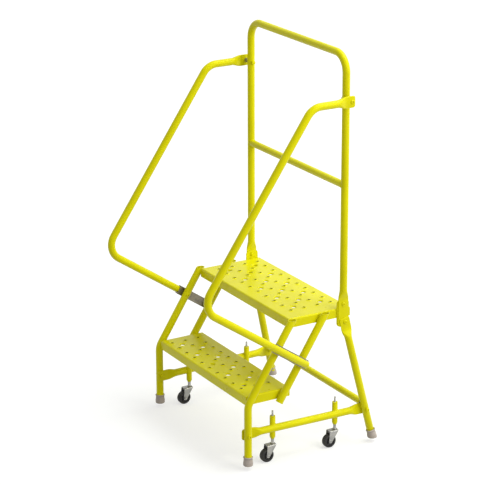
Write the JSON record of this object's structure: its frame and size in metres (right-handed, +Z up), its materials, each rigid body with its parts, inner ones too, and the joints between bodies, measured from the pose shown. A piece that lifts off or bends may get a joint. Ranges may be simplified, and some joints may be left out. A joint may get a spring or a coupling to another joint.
{
  "type": "mobile ladder stand",
  "caption": "Mobile ladder stand with perforated steps, tube frame, guard frame, side handrails and spring-loaded casters.",
  "frame": {"origin": "middle of the footprint on the floor, with the casters carrying the ladder at rest", "axes": "+Z up; +Y from the front of the steps towards the guard frame; +X to the climber's right when going up"},
  "size_m": [0.7352, 0.7127, 1.4485],
  "materials": {
    "yellow_paint": "gloss safety-yellow powder coat on steel",
    "zinc_plate": "bright zinc plate on steel",
    "spring_steel": "oiled spring steel",
    "foot_rubber": "grey moulded rubber",
    "tyre_rubber": "black moulded rubber",
    "wheel_plastic": "black moulded plastic"
  },
  "bodies": {
    "frame": {"lower_step": "yellow_paint", "upper_step": "yellow_paint", "front_leg_left": "yellow_paint", "front_leg_right": "yellow_paint", "rear_rail_left": "yellow_paint", "rear_rail_right": "yellow_paint", "base_tube_left": "yellow_paint", "base_tube_right": "yellow_paint", "rear_leg_left": "yellow_paint", "rear_leg_right": "yellow_paint", "cross_brace": "yellow_paint", "guard_frame": "yellow_paint", "mid_rail": "yellow_paint", "post_plates": "yellow_paint", "handrail_left": "yellow_paint", "handrail_right": "yellow_paint", "handrail_saddle_left": "zinc_plate", "handrail_saddle_right": "zinc_plate", "handrail_spacers": "zinc_plate", "handrail_bolts": "zinc_plate", "saddle_bolts": "yellow_paint", "post_bolts": "yellow_paint", "base_bolts": "yellow_paint", "foot_front_left": "foot_rubber", "foot_front_right": "foot_rubber", "foot_rear_left": "foot_rubber", "foot_rear_right": "foot_rubber", "caster_housing_front_left": "yellow_paint", "caster_housing_front_right": "yellow_paint", "caster_housing_rear_left": "yellow_paint", "caster_housing_rear_right": "yellow_paint"},
    "stem_front_left": {"caster_stem_front_left": "zinc_plate", "caster_spring_front_left": "spring_steel"},
    "fork_front_left": {"caster_fork_front_left": "zinc_plate", "caster_axle_front_left": "zinc_plate"},
    "wheel_front_left": {"caster_hub_front_left": "wheel_plastic", "caster_tyre_front_left": "tyre_rubber"},
    "stem_front_right": {"caster_stem_front_right": "zinc_plate", "caster_spring_front_right": "spring_steel"},
    "fork_front_right": {"caster_fork_front_right": "zinc_plate", "caster_axle_front_right": "zinc_plate"},
    "wheel_front_right": {"caster_hub_front_right": "wheel_plastic", "caster_tyre_front_right": "tyre_rubber"},
    "stem_rear_left": {"caster_stem_rear_left": "zinc_plate", "caster_spring_rear_left": "spring_steel"},
    "fork_rear_left": {"caster_fork_rear_left": "zinc_plate", "caster_axle_rear_left": "zinc_plate"},
    "wheel_rear_left": {"caster_hub_rear_left": "wheel_plastic", "caster_tyre_rear_left": "tyre_rubber"},
    "stem_rear_right": {"caster_stem_rear_right": "zinc_plate", "caster_spring_rear_right": "spring_steel"},
    "fork_rear_right": {"caster_fork_rear_right": "zinc_plate", "caster_axle_rear_right": "zinc_plate"},
    "wheel_rear_right": {"caster_hub_rear_right": "wheel_plastic", "caster_tyre_rear_right": "tyre_rubber"}
  },
  "joints": [
    {"name": "stem_front_left_slide", "type": "slide", "parent": "frame", "child": "stem_front_left", "axis": [0, 0, 1], "range_m": [0, 0.016], "stiffness_N_per_m": 3000, "springref_m": -0.04, "deforming": ["caster_spring_front_left"]},
    {"name": "fork_front_left_swivel", "type": "hinge", "parent": "stem_front_left", "child": "fork_front_left", "pos_m": [-0.30195, -0.0561, 0.065], "axis": [0, 0, 1], "continuous": true},
    {"name": "wheel_front_left_spin", "type": "hinge", "parent": "fork_front_left", "child": "wheel_front_left", "pos_m": [-0.30195, -0.0801, 0.025], "axis": [1, 0, 0], "continuous": true},
    {"name": "stem_front_right_slide", "type": "slide", "parent": "frame", "child": "stem_front_right", "axis": [0, 0, 1], "range_m": [0, 0.016], "stiffness_N_per_m": 3000, "springref_m": -0.04, "deforming": ["caster_spring_front_right"]},
    {"name": "fork_front_right_swivel", "type": "hinge", "parent": "stem_front_right", "child": "fork_front_right", "pos_m": [0.30195, -0.0561, 0.065], "axis": [0, 0, 1], "continuous": true},
    {"name": "wheel_front_right_spin", "type": "hinge", "parent": "fork_front_right", "child": "wheel_front_right", "pos_m": [0.30195, -0.0801, 0.025], "axis": [1, 0, 0], "continuous": true},
    {"name": "stem_rear_left_slide", "type": "slide", "parent": "frame", "child": "stem_rear_left", "axis": [0, 0, 1], "range_m": [0, 0.016], "stiffness_N_per_m": 3000, "springref_m": -0.04, "deforming": ["caster_spring_rear_left"]},
    {"name": "fork_rear_left_swivel", "type": "hinge", "parent": "stem_rear_left", "child": "fork_rear_left", "pos_m": [-0.31023, 0.19956, 0.065], "axis": [0, 0, 1], "continuous": true},
    {"name": "wheel_rear_left_spin", "type": "hinge", "parent": "fork_rear_left", "child": "wheel_rear_left", "pos_m": [-0.31023, 0.17556, 0.025], "axis": [1, 0, 0], "continuous": true},
    {"name": "stem_rear_right_slide", "type": "slide", "parent": "frame", "child": "stem_rear_right", "axis": [0, 0, 1], "range_m": [0, 0.016], "stiffness_N_per_m": 3000, "springref_m": -0.04, "deforming": ["caster_spring_rear_right"]},
    {"name": "fork_rear_right_swivel", "type": "hinge", "parent": "stem_rear_right", "child": "fork_rear_right", "pos_m": [0.31023, 0.19956, 0.065], "axis": [0, 0, 1], "continuous": true},
    {"name": "wheel_rear_right_spin", "type": "hinge", "parent": "fork_rear_right", "child": "wheel_rear_right", "pos_m": [0.31023, 0.17556, 0.025], "axis": [1, 0, 0], "continuous": true}
  ]
}
